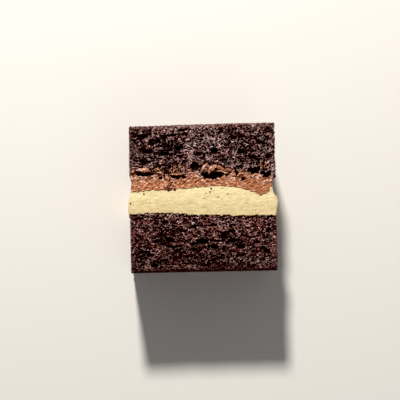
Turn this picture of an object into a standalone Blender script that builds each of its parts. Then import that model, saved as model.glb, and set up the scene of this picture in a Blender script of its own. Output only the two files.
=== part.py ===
"""A slice of chocolate layer cake, lying on one of its two broad cuts.

X runs across the slice and Y from the cake's underside to its top, so the four layers are
stacked along Y. Z runs up from the surface that the slice lies on to the cut that shows.
The origin is the middle of the slice's underside. Lengths are in metres.
"""

import itertools

import bmesh
import bpy
import numpy as np
from mathutils import Matrix, Vector

MM = 0.001

SLICE_WIDTH = 69.2 * MM
SLICE_THICKNESS = 45.0 * MM
CAKE_FOOT = -35.2 * MM
CAKE_HEAD = 35.0 * MM
HEAD_RISE = 1.0 * MM
LAYER_GAP = 0.3 * MM

# Lines where two layers meet on the cut that shows, as (x, y) in millimetres.
FOOT_LINE = [(-35, -7.4), (-18, -6.7), (-6, -7.7), (8, -8.2), (20, -8.7), (35, -8.6)]
CREST_LINE = [
    (-35, 3.3), (-19, 4.1), (-4, 4.9), (4, 5.6), (11, 5.4),
    (17, 4.7), (23, 3.0), (27.5, 1.3), (31, 1.9), (35, 4.0),
]
COCOA_LINE = [
    (-35, 11.8), (-30, 10.6), (-22, 10.4), (-12, 9.0), (-4, 11.6), (0, 9.4),
    (8, 9.0), (13, 10.2), (17, 9.4), (22, 11.2), (31, 8.7), (35, 10.2),
]
LINE_DRIFT = 0.9 * MM
DRIFT_SIZE = 15 * MM
DRIFT_DEPTH = 5 * MM

# Swell of each side of a layer past the sponge's side cuts, at the layer's middle.
PALE_SWELL = 1.3 * MM
COCOA_SWELL = -0.6 * MM
SWELL_REACH = 5 * MM

SPONGE_CRAG = 0.55 * MM
CREAM_CRAG = 0.18 * MM
CRAG_SIZE = 4.6 * MM
EDGE_SOFTENING = 0.7 * MM

COLUMN_STEP = 2.15 * MM
SPONGE_ROW_STEP = 2.3 * MM
CREAM_ROW_STEP = 1.9 * MM
RIM_STEP = 1.0 * MM
LEVELS_MM = (0, 1, 6, 12, 18, 24, 30, 35, 39, 42, 44, 45)

# Holes baked into the sponge, as (x, y, half width, half height) in millimetres on the cut.
TOP_PORES = [
    (5.8, 22.1, 1.9, 1.7), (-11.3, 23.7, 1.5, 1.3), (18.1, 21.7, 1.6, 1.2),
    (-26.2, 22.5, 2.8, 1.1), (-18.4, 21.1, 2.5, 1.0), (-3.8, 14.7, 2.3, 2.1),
    (31.6, 19.4, 1.8, 1.2),
]
BOTTOM_PORES = [
    (-4.9, -13.5, 1.5, 1.0), (13.3, -16.1, 1.9, 0.9), (-1.0, -20.6, 3.0, 1.2),
    (13.4, -20.3, 2.3, 1.1), (4.8, -23.2, 1.9, 1.3), (17.5, -23.4, 2.0, 1.2),
    (29.6, -25.8, 1.5, 1.2), (-23.6, -31.6, 1.8, 0.9), (-16.0, -19.8, 2.2, 0.9),
]
PORE_DEPTH = 1.9 * MM
HOLE_DENTS = 0.3
HOLE_DENT_SIZE = 1.3 * MM

# Tears where the top sponge has pulled off the cocoa cream, in the same terms as the pores.
TEARS = [
    (-28.2, 11.7, 4.0, 1.4), (-12.1, 9.9, 4.2, 1.3), (5.2, 10.4, 6.6, 2.2),
    (15.8, 10.9, 2.0, 1.7), (24.2, 12.6, 3.2, 2.0), (29.6, 10.7, 2.9, 2.0),
]
TEAR_DEPTH = 3.4 * MM

# Curl of cocoa cream that the knife lifted over the widest tear, from its free tip to its
# root in the cream, as (x, y, depth below the cut) in millimetres.
CURL_PATH = [
    (2.8, 12.2, 2.1), (4.3, 13.9, 1.6), (6.6, 14.8, 1.4), (8.7, 13.6, 1.5),
    (10.4, 12.0, 1.9), (12.5, 11.7, 1.9), (13.9, 10.4, 2.2), (13.8, 8.2, 2.6),
]
CURL_RADIUS = 1.0 * MM
CURL_CLEARANCE = 0.45 * MM
CURL_BED = [(2.1, 11.2, 2.6), *CURL_PATH]

SPONGE_BROWN = (0.045, 0.018, 0.013)
PALE_YELLOW = (0.84, 0.66, 0.33)
COCOA_TAN = (0.40, 0.16, 0.075)


def lattice_value(corner, seed):
    """A fixed value from -1 to 1 for each whole-number point, by mixing its coordinates."""
    mixed = (corner * np.array([73856093, 19349663, 83492791])).sum(-1) + seed * 2654435761
    mixed = (mixed ^ (mixed >> 13)) * 1274126177
    mixed = mixed ^ (mixed >> 16)
    return (mixed & 0xFFFF) / 32767.5 - 1


def bumps(x, y, z, size, seed):
    """Smooth bumps from -1 to 1, about size across: lattice values, eased between corners."""
    scaled = np.stack(np.broadcast_arrays(x, y, z), -1) / size
    corner = np.floor(scaled).astype(np.int64)
    part = scaled - corner
    part = part * part * (3 - 2 * part)
    total = np.zeros(part.shape[:-1])
    for step in itertools.product((0, 1), repeat=3):
        share = np.where(np.array(step) == 1, part, 1 - part).prod(-1)
        total += share * lattice_value(corner + np.array(step), seed)
    return total


def height_along(line, x):
    """Height at x of a smooth line through the points, by cubic pieces between them."""
    along, height = (np.array(values) * MM for values in zip(*line))
    slope = np.gradient(height, along)
    i = np.clip(np.searchsorted(along, x) - 1, 0, len(along) - 2)
    run = along[i + 1] - along[i]
    t = np.clip((x - along[i]) / run, 0, 1)
    ahead = t * t * (3 - 2 * t)
    return (
        (1 - ahead) * height[i] + ahead * height[i + 1]
        + t * (1 - t) ** 2 * run * slope[i] - t * t * (1 - t) * run * slope[i + 1]
    )


def seam(line, x, z, seed):
    """Where two layers meet: the line on the cut that shows, drifting as it runs down."""
    down = 1 - np.exp(-(SLICE_THICKNESS - z) / DRIFT_DEPTH)
    return height_along(line, x) + LINE_DRIFT * down * bumps(x, 0, z, DRIFT_SIZE, seed)


def foot_face(x, z):
    return np.full_like(x, CAKE_FOOT)


def foot_seam(x, z):
    return seam(FOOT_LINE, x, z, 11)


def crest_seam(x, z):
    return seam(CREST_LINE, x, z, 23)


def cocoa_seam(x, z):
    return seam(COCOA_LINE, x, z, 37)


def head_face(x, z):
    return CAKE_HEAD + HEAD_RISE * (x / SLICE_WIDTH)


def steps_between(low, high, step):
    """Places between two ends, near to step apart, with one more near each end."""
    inner = np.linspace(low, high, max(2, round((high - low) / step)) + 1)[1:-1]
    return [low + RIM_STEP, *inner[1:-1], high - RIM_STEP]


def block_of_facets(columns, rows, levels):
    """A block as wide and thick as the slice, and 1 high, cut into facets along each axis."""
    mesh = bmesh.new()
    bmesh.ops.create_cube(mesh, size=1)
    bmesh.ops.translate(mesh, verts=mesh.verts, vec=(0, 0.5, 0.5))
    bmesh.ops.scale(mesh, verts=mesh.verts, vec=(SLICE_WIDTH, 1, SLICE_THICKNESS))
    for axis, places in enumerate((columns, rows, levels)):
        normal = Vector((0, 0, 0))
        normal[axis] = 1
        for place in places:
            geometry = [*mesh.verts, *mesh.edges, *mesh.faces]
            bmesh.ops.bisect_plane(mesh, geom=geometry, plane_co=normal * place, plane_no=normal)
    return mesh


def layer_points(points, low, high, swell, crag, outer_ends):
    """Moves the block's points, whose y is the share of the way through the layer.

    The share becomes a height between the two seams. Both sides swell in an arch. The cut
    that shows, the sides and an outer end are sunk by up to twice the crag, in bumps, and
    the edges between them are softened. The underside stays flat.
    """
    x, share, z = points.T
    half = SLICE_WIDTH / 2
    y = low(x, z) + share * (high(x, z) - low(x, z))
    near_side = np.clip(1 - (half - abs(x)) / SWELL_REACH, 0, 1) ** 2
    arch = np.sin(np.pi * np.clip(share, 0, 1)) ** 0.6
    on_side = abs(x) > half - 1e-6
    on_cut = z > SLICE_THICKNESS - 1e-6
    on_end = ((share < 1e-6) & outer_ends[0]) | ((share > 1 - 1e-6) & outer_ends[1])

    def sunk(seed):
        return crag * (1 + bumps(x, y, z, CRAG_SIZE, seed))

    edges = on_side.astype(int) + on_cut + on_end
    soft = EDGE_SOFTENING * (edges > 1)
    inwards_y = np.where(share > 0.5, -1, 1)
    x = x + np.sign(x) * (swell * arch * near_side - on_side * (sunk(3) + soft))
    y = y + on_end * inwards_y * (sunk(5) + soft)
    z = z - on_cut * (sunk(7) + soft)
    return np.stack([x, y, z], -1)


def cake_layer(name, low, high, swell, crag, row_step, outer_ends=(False, False)):
    """One layer of the slice, between two seams and a small gap clear of its neighbours."""
    middle = np.zeros(1)
    deep = float(high(middle, middle + SLICE_THICKNESS)[0] - low(middle, middle)[0])
    columns = steps_between(-SLICE_WIDTH / 2, SLICE_WIDTH / 2, COLUMN_STEP)
    rows = np.array(steps_between(0, deep, row_step)) / deep
    levels = [level * MM for level in LEVELS_MM[1:-1]]
    mesh = block_of_facets(columns, rows, levels)
    points = np.array([point.co[:] for point in mesh.verts])
    half_gap = LAYER_GAP / 2
    moved = layer_points(
        points,
        lambda x, z: low(x, z) + (0 if outer_ends[0] else half_gap),
        lambda x, z: high(x, z) - (0 if outer_ends[1] else half_gap),
        swell, crag, outer_ends,
    )
    for point, place in zip(mesh.verts, moved):
        point.co = place
    bmesh.ops.triangulate(mesh, faces=mesh.faces)
    return linked(name, mesh)


def linked(name, mesh):
    data = bpy.data.meshes.new(name)
    mesh.to_mesh(data)
    mesh.free()
    layer = bpy.data.objects.new(name, data)
    bpy.context.scene.collection.objects.link(layer)
    return layer


def hollow(name, hole, depth):
    """A flattened, dented ball that cuts a hole into the cut that shows."""
    x, y, half_width, half_height = (value * MM for value in hole)
    centre = np.array([x, y, SLICE_THICKNESS - SPONGE_CRAG])
    shape = Matrix.LocRotScale(Vector(centre), None, (half_width, half_height, depth))
    mesh = bmesh.new()
    bmesh.ops.create_icosphere(mesh, subdivisions=2, radius=1, matrix=shape)
    points = np.array([point.co[:] for point in mesh.verts])
    dents = 1 + HOLE_DENTS * bumps(*points.T, HOLE_DENT_SIZE, 19)
    for point, place in zip(mesh.verts, centre + (points - centre) * dents[:, None]):
        point.co = place
    return linked(name, mesh)


def curl(name, path, radius):
    """A bent finger along a path that lies just under the cut that shows."""
    line = bpy.data.curves.new(name, "CURVE")
    line.dimensions = "3D"
    line.bevel_depth = radius
    line.bevel_resolution = 2
    line.resolution_u = 3
    line.use_fill_caps = True
    spline = line.splines.new("BEZIER")
    spline.bezier_points.add(len(path) - 1)
    for point, (x, y, depth) in zip(spline.bezier_points, path):
        point.co = (x * MM, y * MM, SLICE_THICKNESS - depth * MM)
        point.handle_left_type = point.handle_right_type = "AUTO"
    guide = bpy.data.objects.new(name, line)
    bpy.context.scene.collection.objects.link(guide)
    bpy.context.view_layer.update()
    data = bpy.data.meshes.new_from_object(guide.evaluated_get(bpy.context.evaluated_depsgraph_get()))
    bpy.data.objects.remove(guide)
    mesh = bmesh.new()
    mesh.from_mesh(data)
    bmesh.ops.remove_doubles(mesh, verts=mesh.verts, dist=0.01 * MM)
    bmesh.ops.recalc_face_normals(mesh, faces=mesh.faces)
    return linked(name, mesh)


def helpers(name, objects):
    """Shapes that only cut or join, kept in their own collection and out of the render."""
    group = bpy.data.collections.new(name)
    bpy.context.scene.collection.children.link(group)
    for shape in objects:
        bpy.context.scene.collection.objects.unlink(shape)
        group.objects.link(shape)
        shape.hide_render = True
        shape.display_type = "WIRE"
    return group


def combine(layer, operation, group):
    change = layer.modifiers.new(operation.lower(), "BOOLEAN")
    change.operation = operation
    change.operand_type = "COLLECTION"
    change.collection = group
    change.solver = "MANIFOLD"


def finish(layer, name, colour, roughness):
    """Gives a layer its own material, smooth apart from its sharp edges."""
    material = bpy.data.materials.new(name)
    material.use_nodes = True
    shader = material.node_tree.nodes["Principled BSDF"]
    shader.inputs["Base Color"].default_value = (*colour, 1)
    shader.inputs["Roughness"].default_value = roughness
    layer.data.materials.append(material)
    layer.data.shade_smooth()
    layer.data.set_sharp_from_angle(angle=0.6)


def build_sponges():
    bottom = cake_layer(
        "bottom_sponge", foot_face, foot_seam, 0, SPONGE_CRAG, SPONGE_ROW_STEP, (True, False)
    )
    top = cake_layer(
        "top_sponge", cocoa_seam, head_face, 0, SPONGE_CRAG, SPONGE_ROW_STEP, (False, True)
    )
    bottom_holes = [hollow(f"bottom_pore_{i}", hole, PORE_DEPTH) for i, hole in enumerate(BOTTOM_PORES)]
    top_holes = [hollow(f"top_pore_{i}", hole, PORE_DEPTH) for i, hole in enumerate(TOP_PORES)]
    tears = [hollow(f"tear_{i}", hole, TEAR_DEPTH) for i, hole in enumerate(TEARS)]
    bed = curl("curl_bed", CURL_BED, CURL_RADIUS + CURL_CLEARANCE)
    combine(bottom, "DIFFERENCE", helpers("bottom_cutters", bottom_holes))
    combine(top, "DIFFERENCE", helpers("top_cutters", [*top_holes, *tears, bed]))
    for layer in (bottom, top):
        finish(layer, layer.name, SPONGE_BROWN, 0.75)


def build_creams():
    pale = cake_layer("pale_cream", foot_seam, crest_seam, PALE_SWELL, CREAM_CRAG, CREAM_ROW_STEP)
    cocoa = cake_layer("cocoa_cream", crest_seam, cocoa_seam, COCOA_SWELL, CREAM_CRAG, CREAM_ROW_STEP)
    lifted = curl("cream_curl", CURL_PATH, CURL_RADIUS)
    combine(cocoa, "UNION", helpers("cream_curls", [lifted]))
    finish(pale, "pale_cream", PALE_YELLOW, 0.5)
    finish(cocoa, "cocoa_cream", COCOA_TAN, 0.55)


def main():
    for obj in list(bpy.data.objects):
        bpy.data.objects.remove(obj, do_unlink=True)
    build_sponges()
    build_creams()


main()
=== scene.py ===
"""A slice of chocolate layer cake, dressed for its picture.

Each piece is a surface worked out on a grid of numbers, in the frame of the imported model: X runs
across the slice, Y from the cake's underside to its top, and Z up to the cut that shows. Lengths
are in metres.
"""

import itertools
import math

import bpy
import numpy as np
from mathutils import Matrix, Vector


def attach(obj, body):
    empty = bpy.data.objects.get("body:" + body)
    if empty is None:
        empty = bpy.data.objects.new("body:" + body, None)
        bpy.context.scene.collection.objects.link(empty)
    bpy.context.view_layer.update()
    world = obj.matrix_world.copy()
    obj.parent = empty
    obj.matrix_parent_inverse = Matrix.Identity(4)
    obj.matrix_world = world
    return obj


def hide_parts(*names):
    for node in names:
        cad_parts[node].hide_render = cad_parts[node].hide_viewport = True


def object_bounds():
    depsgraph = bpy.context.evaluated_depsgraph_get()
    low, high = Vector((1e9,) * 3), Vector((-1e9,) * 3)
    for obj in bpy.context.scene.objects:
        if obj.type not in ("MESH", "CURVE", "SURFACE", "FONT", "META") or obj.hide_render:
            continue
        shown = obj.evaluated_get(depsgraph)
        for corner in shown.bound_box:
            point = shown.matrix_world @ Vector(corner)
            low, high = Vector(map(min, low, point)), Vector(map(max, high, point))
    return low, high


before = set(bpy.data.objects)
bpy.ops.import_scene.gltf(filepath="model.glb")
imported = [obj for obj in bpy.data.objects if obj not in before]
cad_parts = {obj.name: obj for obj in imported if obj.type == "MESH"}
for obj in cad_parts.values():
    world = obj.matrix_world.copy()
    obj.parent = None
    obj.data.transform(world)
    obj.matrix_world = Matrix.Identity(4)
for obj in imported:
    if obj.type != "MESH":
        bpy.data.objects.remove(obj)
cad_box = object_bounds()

MM = 0.001

# The slice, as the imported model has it.
HALF_WIDTH = 34.6 * MM
THICKNESS = 45.0 * MM
CAKE_FOOT = -35.2 * MM
CAKE_HEAD = 35.0 * MM
HEAD_RISE = 1.0 * MM
FOOT_LINE = [(-35, -7.4), (-18, -6.7), (-6, -7.7), (8, -8.2), (20, -8.7), (35, -8.6)]
CREST_LINE = [
    (-35, 3.3), (-19, 4.1), (-4, 4.9), (4, 5.6), (11, 5.4),
    (17, 4.7), (23, 3.0), (27.5, 1.3), (31, 1.9), (35, 4.0),
]
COCOA_LINE = [
    (-35, 11.8), (-30, 10.6), (-22, 10.4), (-12, 9.0), (-4, 11.6), (0, 9.4),
    (8, 9.0), (13, 10.2), (17, 9.4), (22, 11.2), (31, 8.7), (35, 10.2),
]

# How far the seams drift below the cut, over what length, and how deep the drift sets in.
LINE_DRIFT = 0.9 * MM
DRIFT_SIZE = 15 * MM
DRIFT_DEPTH = 5 * MM

# How each layer's block is worked: the radius of its outer edges, how far the direction of its
# relief takes to turn from face to face, how far in a side's swell reaches, how far above the
# underside the relief evens out, and how much two layers lap.
CORNER = 1.0 * MM
BLEND = 3.0 * MM
SWELL_REACH = 5 * MM
EVEN_RIM = 1.6 * MM
LAP = 0.08 * MM

# How far the left and right sides of each cream stand out, as (share of its height, millimetres).
PALE_SWELL = (
    [(0, 1.1), (0.25, 1.25), (0.5, 1.1), (0.75, 0.5), (1, -0.2)],
    [(0, 0.2), (0.3, 0.9), (0.6, 1.0), (0.8, -0.4), (1, -2.0)],
)
COCOA_SWELL = (
    [(0, -0.2), (0.5, -0.6), (1, 0.0)],
    [(0, -2.2), (0.4, -1.6), (1, -1.0)],
)
NO_SWELL = ([], [])

# Holes baked into the sponges, tears along the upper one and pits in the pale cream, as (x, y,
# half width, half height) in millimetres.
TOP_PORES = [
    (5.8, 22.1, 1.9, 1.7), (-11.3, 23.7, 1.5, 1.3), (18.1, 21.7, 1.6, 1.2),
    (-26.2, 22.5, 2.8, 1.1), (-18.4, 21.1, 2.5, 1.0), (-3.8, 14.7, 2.3, 2.1),
    (31.6, 19.4, 1.8, 1.2),
]
BOTTOM_PORES = [
    (-4.9, -13.5, 1.5, 1.0), (13.3, -16.1, 1.9, 0.9), (-1.0, -20.6, 3.0, 1.2),
    (13.4, -20.3, 2.3, 1.1), (4.8, -23.2, 1.9, 1.3), (17.5, -23.4, 2.0, 1.2),
    (29.6, -25.8, 1.5, 1.2), (-23.6, -31.6, 1.8, 0.9), (-16.0, -19.8, 2.2, 0.9),
]
TEARS = [
    (-28.6, 11.7, 5.4, 1.0), (-11.8, 9.9, 4.1, 1.15), (-19.8, 10.0, 1.4, 0.7), (5.2, 10.5, 6.6, 1.9),
    (15.2, 11.2, 2.4, 1.6), (24.0, 12.3, 3.0, 1.8), (30.4, 10.7, 2.8, 1.8), (19.3, 8.7, 1.3, 0.7),
]
CREAM_PITS = [
    (1.4, 1.7, 0.55, 0.4), (9.2, 4.0, 0.5, 0.35), (11.6, 1.3, 0.6, 0.5), (7.0, 0.0, 0.7, 0.5),
    (27.2, 0.7, 0.8, 0.5),
]

# Depth of the named holes, and how far their rims are dented, in millimetres.
PORE_DEPTH = 2.6 * MM
PORE_DENT = 0.5
TEAR_DEPTH = 3.3 * MM
TEAR_DENT = 1.2
CREAM_PIT_DEPTH = 0.5 * MM

# Scraps of cream dragged up by the knife, as places (x, y, depth below the cut, radius) in
# millimetres from one end to the other. Each cocoa scrap also has how dark it is, from 0 to 1,
# which is partly painted shade on the scraps that lie in shade.
COCOA_SCRAPS = [
    (0.0, [(2.6, 11.2, 1.5, 0.5), (3.4, 12.8, 1.1, 0.9),
           (5.0, 14.4, 0.9, 1.15), (7.0, 14.9, 0.95, 0.9)]),
    (0.8, [(6.4, 14.6, 1.1, 0.5), (8.0, 14.1, 1.2, 0.9),
           (9.8, 13.2, 1.3, 0.8), (11.4, 12.4, 1.4, 0.5)]),
    (0.0, [(6.6, 12.4, 1.7, 0.25), (8.4, 12.6, 1.2, 0.35),
           (10.4, 11.8, 1.2, 0.3), (12.0, 11.6, 1.3, 0.25)]),
    (0.75, [(10.8, 13.4, 1.3, 0.5), (12.6, 13.0, 1.1, 0.8), (14.4, 12.4, 1.3, 0.5)]),
    (0.6, [(12.6, 10.6, 1.5, 0.6), (14.2, 10.6, 1.3, 0.9), (16.0, 10.2, 1.5, 0.6)]),
    (0.0, [(13.2, 10.2, 1.1, 0.35), (14.0, 11.6, 0.8, 0.4), (14.9, 13.0, 1.0, 0.3)]),
    (0.0, [(-31.6, 13.2, 1.0, 0.4), (-29.6, 13.8, 0.7, 0.7),
           (-27.0, 13.4, 0.75, 0.75), (-24.6, 12.8, 1.0, 0.45)]),
    (0.0, [(-33.9, 14.8, 0.8, 0.2), (-32.4, 14.7, 0.5, 0.25), (-30.9, 14.6, 0.7, 0.2)]),
    (0.0, [(-16.1, 11.3, 0.8, 0.3), (-14.0, 11.3, 0.5, 0.35), (-12.0, 11.2, 0.5, 0.35),
           (-10.0, 11.5, 0.5, 0.35), (-8.4, 12.4, 0.8, 0.3)]),
    (0.0, [(-12.6, 8.8, 1.0, 0.3), (-11.4, 8.2, 0.6, 0.4),
           (-9.8, 8.2, 0.6, 0.4), (-8.4, 9.0, 0.9, 0.3)]),
    (0.1, [(-17.6, 11.0, 0.9, 0.4), (-17.0, 9.6, 0.5, 0.6), (-16.2, 8.4, 0.6, 0.5)]),
    (0.0, [(-0.9, 11.8, 1.2, 0.45), (-0.1, 13.2, 0.8, 0.65),
           (0.9, 15.0, 0.75, 0.65), (2.4, 16.6, 0.9, 0.4)]),
    (0.0, [(16.4, 12.7, 0.7, 0.2), (17.4, 11.9, 0.5, 0.3),
           (18.4, 12.6, 0.5, 0.25), (19.6, 12.5, 0.7, 0.2)]),
    (0.0, [(16.2, 9.8, 1.0, 0.4), (17.4, 11.0, 0.8, 0.6),
           (19.0, 11.2, 0.8, 0.65), (20.4, 9.8, 1.0, 0.5)]),
    (0.2, [(20.8, 8.6, 0.9, 0.45), (22.4, 9.8, 0.7, 0.6), (24.0, 9.4, 0.8, 0.5)]),
    (0.0, [(23.2, 9.8, 1.0, 0.4), (24.8, 10.4, 0.7, 0.6),
           (26.6, 9.6, 0.7, 0.6), (28.2, 8.6, 1.0, 0.5)]),
    (0.0, [(31.6, 5.4, 0.9, 0.45), (32.2, 8.0, 0.8, 0.5), (32.9, 10.8, 0.9, 0.25)]),
    (0.0, [(-23.6, 11.0, 0.9, 0.45), (-22.4, 10.7, 0.6, 0.55), (-21.2, 10.2, 0.9, 0.4)]),
    (0.15, [(-21.8, 12.4, 0.9, 0.4), (-20.0, 12.1, 0.7, 0.55), (-18.4, 11.2, 0.9, 0.4)]),
    (0.5, [(-22.6, 14.2, 0.8, 0.3), (-21.0, 13.8, 0.6, 0.4), (-19.8, 13.2, 0.8, 0.3)]),
    (0.0, [(-7.4, 11.4, 0.8, 0.3), (-6.2, 12.0, 0.5, 0.35),
           (-5.0, 11.5, 0.6, 0.45), (-3.4, 10.9, 0.8, 0.35)]),
    (0.1, [(-5.2, 9.9, 0.9, 0.4), (-3.9, 10.3, 0.6, 0.6), (-2.7, 9.0, 0.9, 0.4)]),
    (0.0, [(17.6, 7.5, 0.8, 0.35), (18.6, 6.9, 0.4, 0.5), (19.6, 7.1, 0.8, 0.35)]),
    (0.35, [(-15.6, 12.4, 0.8, 0.2), (-15.3, 13.6, 0.6, 0.25), (-14.6, 14.6, 0.8, 0.15)]),
    (0.4, [(-10.2, 12.6, 0.8, 0.2), (-9.9, 13.4, 0.6, 0.3), (-8.8, 14.6, 0.8, 0.15)]),
]
PALE_SCRAPS = [
    [(31.2, 1.7, 0.6, 0.3), (31.9, 3.5, 0.3, 0.35), (32.5, 5.5, 0.4, 0.2)],
    [(32.5, 5.2, 0.5, 0.2), (32.8, 3.0, 0.35, 0.28),
     (33.6, 0.8, 0.4, 0.25), (35.2, -0.5, 0.6, 0.22)],
]

# Patches of the sponge that cream is smeared over, as (x, y, half width, half height) in
# millimetres.
SMEARS = [
    (29.6, 14.9, 2.7, 2.1), (1.2, 14.8, 1.6, 2.4), (-12.2, 13.9, 3.8, 2.4), (-21.2, 13.9, 2.0, 1.0),
    (-28.4, 13.8, 4.0, 1.0), (12.0, 13.8, 2.2, 1.0), (18.4, 12.4, 1.8, 1.0),
]

# Lumps of cream in those patches, as (least radius, most radius) in millimetres, and how many of
# them a square millimetre has.
SMEAR_LUMPS = (0.16, 0.42, 1.5)

# Crumbs stuck to the creams, as (x, y, radius) in millimetres.
STUCK_CRUMBS = [
    (-17.6, 4.8, 0.9), (-16.5, 5.6, 1.0), (-15.3, 4.6, 1.1), (-14.2, 5.2, 0.9), (-13.5, 4.2, 0.8),
    (-16.6, 4.1, 0.8), (-15.2, 6.5, 0.7), (-28.0, 2.3, 0.4), (-34.4, -2.4, 0.4), (3.8, 4.2, 0.5),
    (3.0, 2.9, 0.45),
]

# Lumps strewn along the torn seam, as (number, least radius, most radius) in millimetres.
CREAM_LUMPS = (110, 0.2, 0.5)
SPONGE_LUMPS = (50, 0.2, 0.5)

# Spacing of the grids, fine near the cut and coarser below it, and how many triangles each layer
# is thinned to.
FINE_STEP = 0.2 * MM
DEEP_STEP = 0.4 * MM
FINE_DEPTH = 8 * MM
MOST_TRIANGLES = 195000

# Spacing of a scrap's points along it in millimetres, the fewest that it has, and how many it has
# each way across. Lumps are coarser, and none lies deeper than the deepest.
STRAND_STEP = 0.12
STRAND_LEAST = 16
STRAND_ACROSS = 14
LUMP_GRID = (5, 5, 4)
DEEPEST = 2.2 * MM

# A face is shaded flat where its middle is below this height and it is this nearly level.
UNDERSIDE = 0.05 * MM
LEVEL = 0.98

# The first seed of each pattern.
SEEDS = {
    "foot seam": 11, "crest seam": 23, "cocoa seam": 37,
    "pale cream": 201, "cocoa cream": 301, "lower sponge": 400,
    "upper sponge": 500, "tears": 508, "smears": 520,
    "cocoa scraps": 601, "pale scraps": 641, "scrap tones": 651,
    "stuck crumbs": 701, "strewn cream": 811, "smeared cream": 815,
    "cream lumps": 821, "strewn sponge": 831, "sponge lumps": 841,
}

# Large odd numbers that keep the draws for different places, seeds, axes and uses apart.
MIXING = np.array([73856093, 19349663, 83492791])
BIT_MIX = 1274126177
SEED_STEP = 2654435761
AXIS_STEP = 7919
DRAW_STEP = 104729

# Least length that is divided by.
TINY = 1e-9


def spread(number):
    """A fixed value from -1 to 1 for each whole number, by mixing its bits."""
    mixed = (number ^ (number >> 13)) * BIT_MIX
    mixed = mixed ^ (mixed >> 16)
    return (mixed & 0xFFFF) / 32767.5 - 1


def bumps(points, size, seed):
    """Smooth bumps from -1 to 1, about size across: fixed lattice values, eased between corners."""
    scaled = points / size
    corner = np.floor(scaled).astype(np.int64)
    part = scaled - corner
    part = part * part * (3 - 2 * part)
    number = corner @ MIXING + seed * SEED_STEP
    total = np.zeros(len(points))
    for step in itertools.product((0, 1), repeat=3):
        share = np.ones(len(points))
        for axis in range(3):
            share = share * (part[:, axis] if step[axis] else 1 - part[:, axis])
        total += share * spread(number + MIXING @ np.array(step))
    return total


def rough(points, size, seed, octaves=3, gain=0.5):
    """Bumps on bumps: each octave is half as large across and gain times as high."""
    total = np.zeros(len(points))
    reach = 0
    for octave in range(octaves):
        total += gain**octave * bumps(points, np.asarray(size) / 2**octave, seed + octave)
        reach += gain**octave
    return total / reach


def wobble(points, size, seed, octaves, gain=0.5, axes=3):
    """Bumps on bumps of their own along each axis, as vectors."""
    return np.stack([rough(points, size, seed + axis, octaves, gain) for axis in range(axes)], 1)


def cubes_about(scaled, seed, wander):
    """For each of the 27 cubes of a unit lattice about each point: the squared distance to the one
    place in it, at most wander from its middle along each axis, and its fixed draw from 0 to 1."""
    corner = np.floor(scaled).astype(np.int64)
    number = corner @ MIXING + seed * SEED_STEP
    for step in itertools.product((-1, 0, 1), repeat=3):
        key = number + MIXING @ np.array(step)
        gap = np.zeros(len(scaled))
        for axis in range(3):
            place = corner[:, axis] + step[axis] + 0.5 + wander * spread(key + AXIS_STEP * (axis + 1))
            gap += (scaled[:, axis] - place) ** 2
        yield gap, 0.5 + 0.5 * spread(key + DRAW_STEP)


def balls(points, cell, radii, share, seed):
    """How far each point is inside balls, in cubes. Each cube of a lattice holds one ball or none,
    at a random place. The value is the half chord there, sqrt(radius^2 - distance^2), or 0."""
    depth = np.zeros(len(points))
    for gap, draw in cubes_about(points / cell, seed, 0.5):
        radius = np.where(draw < share, radii[0] + (radii[1] - radii[0]) * draw / share, 0)
        depth = np.maximum(depth, np.sqrt(np.maximum(0, radius**2 - gap)))
    return depth


def foam(points, cell, seed):
    """Cells grown from one random point in each cube of a lattice. Gives how much nearer the
    nearest of those is than the next, in cubes, which is 0 on the walls, and a fixed draw from 0
    to 1."""
    first = np.full(len(points), 9.0)
    second = first.copy()
    nearest_draw = np.zeros(len(points))
    for gap, draw in cubes_about(points / cell, seed, 0.45):
        closer = gap < first
        second = np.where(closer, first, np.minimum(second, gap))
        nearest_draw = np.where(closer, draw, nearest_draw)
        first = np.where(closer, gap, first)
    return np.sqrt(second) - np.sqrt(first), nearest_draw


def eased(value, low, high):
    """0 below low, 1 above high, and eased between them."""
    part = np.clip((value - low) / (high - low), 0, 1)
    return part * part * (3 - 2 * part)


def cubic_piece(values, slopes, i, t, run=1):
    """The curve at share t of the way from value i to the next, in a cubic that leaves the first
    and reaches the second at their slopes."""
    ahead = t * t * (3 - 2 * t)
    return (
        (1 - ahead) * values[i] + ahead * values[i + 1]
        + t * (1 - t) ** 2 * run * slopes[i] - t * t * (1 - t) * run * slopes[i + 1]
    )


def height_along(line, x):
    """Height at x of a smooth line through the points, in cubic pieces between them."""
    along, height = (np.array(values) * MM for values in zip(*line))
    slope = np.gradient(height, along)
    i = np.clip(np.searchsorted(along, x) - 1, 0, len(along) - 2)
    run = along[i + 1] - along[i]
    return cubic_piece(height, slope, i, np.clip((x - along[i]) / run, 0, 1), run)


def curve_through(places, share):
    """Points at shares from 0 to 1 of a smooth curve, in cubic pieces between the places."""
    slope = np.gradient(places, axis=0)
    along = share * (len(places) - 1)
    i = np.minimum(along.astype(int), len(places) - 2)
    return cubic_piece(places, slope, i, (along - i)[:, None])


def seam(line, seed, raggedness, ragged_size, lap):
    """Where two layers meet, as a function of x and z: the line on the cut, drifting as it runs
    down, with a ragged edge that evens out at the underside, and moved by the lap that one layer
    has over the other."""

    def height(x, z):
        flat = np.stack([x, np.zeros_like(x), z], 1)
        down = 1 - np.exp(-(THICKNESS - z) / DRIFT_DEPTH)
        drift = LINE_DRIFT * down * bumps(flat, DRIFT_SIZE, seed)
        edge = raggedness * rough(flat, ragged_size, seed + 50) * eased(z, 0, EVEN_RIM)
        return height_along(line, x) + drift + edge + lap

    return height


def foot_face(x, z):
    """The cake's own underside, which is level."""
    return np.full_like(x, CAKE_FOOT)


def head_face(x, z):
    """The cake's own top, which climbs by the head rise from side to side."""
    return CAKE_HEAD + HEAD_RISE * (x / (2 * HALF_WIDTH))


def evenly(low, high, step):
    """Values from low to high, about a step apart."""
    return np.linspace(low, high, max(2, round((high - low) / step)) + 1)


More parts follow.
